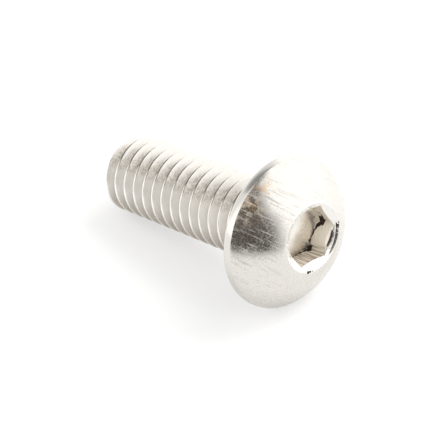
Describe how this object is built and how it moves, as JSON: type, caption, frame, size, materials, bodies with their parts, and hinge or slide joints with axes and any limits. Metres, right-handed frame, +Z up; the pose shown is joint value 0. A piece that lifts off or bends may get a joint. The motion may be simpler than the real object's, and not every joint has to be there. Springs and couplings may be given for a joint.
{
  "type": "button head screw",
  "caption": "Metric button head screw with a domed head, straight rim, hexagon socket and a full coarse thread, lying at rest on its side.",
  "frame": {"origin": "middle of the footprint of the lying screw, on the surface it rests on", "axes": "+Z up; the screw's axis lies in the XZ plane with its head towards +X, raised 10.24 degrees at the head end"},
  "size_m": [0.01, 0.0056, 0.0057],
  "materials": {
    "stainless_steel": "polished stainless steel with fine tool marks and a warm tint"
  },
  "bodies": {
    "root": {"button_head_screw": "stainless_steel"}
  },
  "joints": []
}
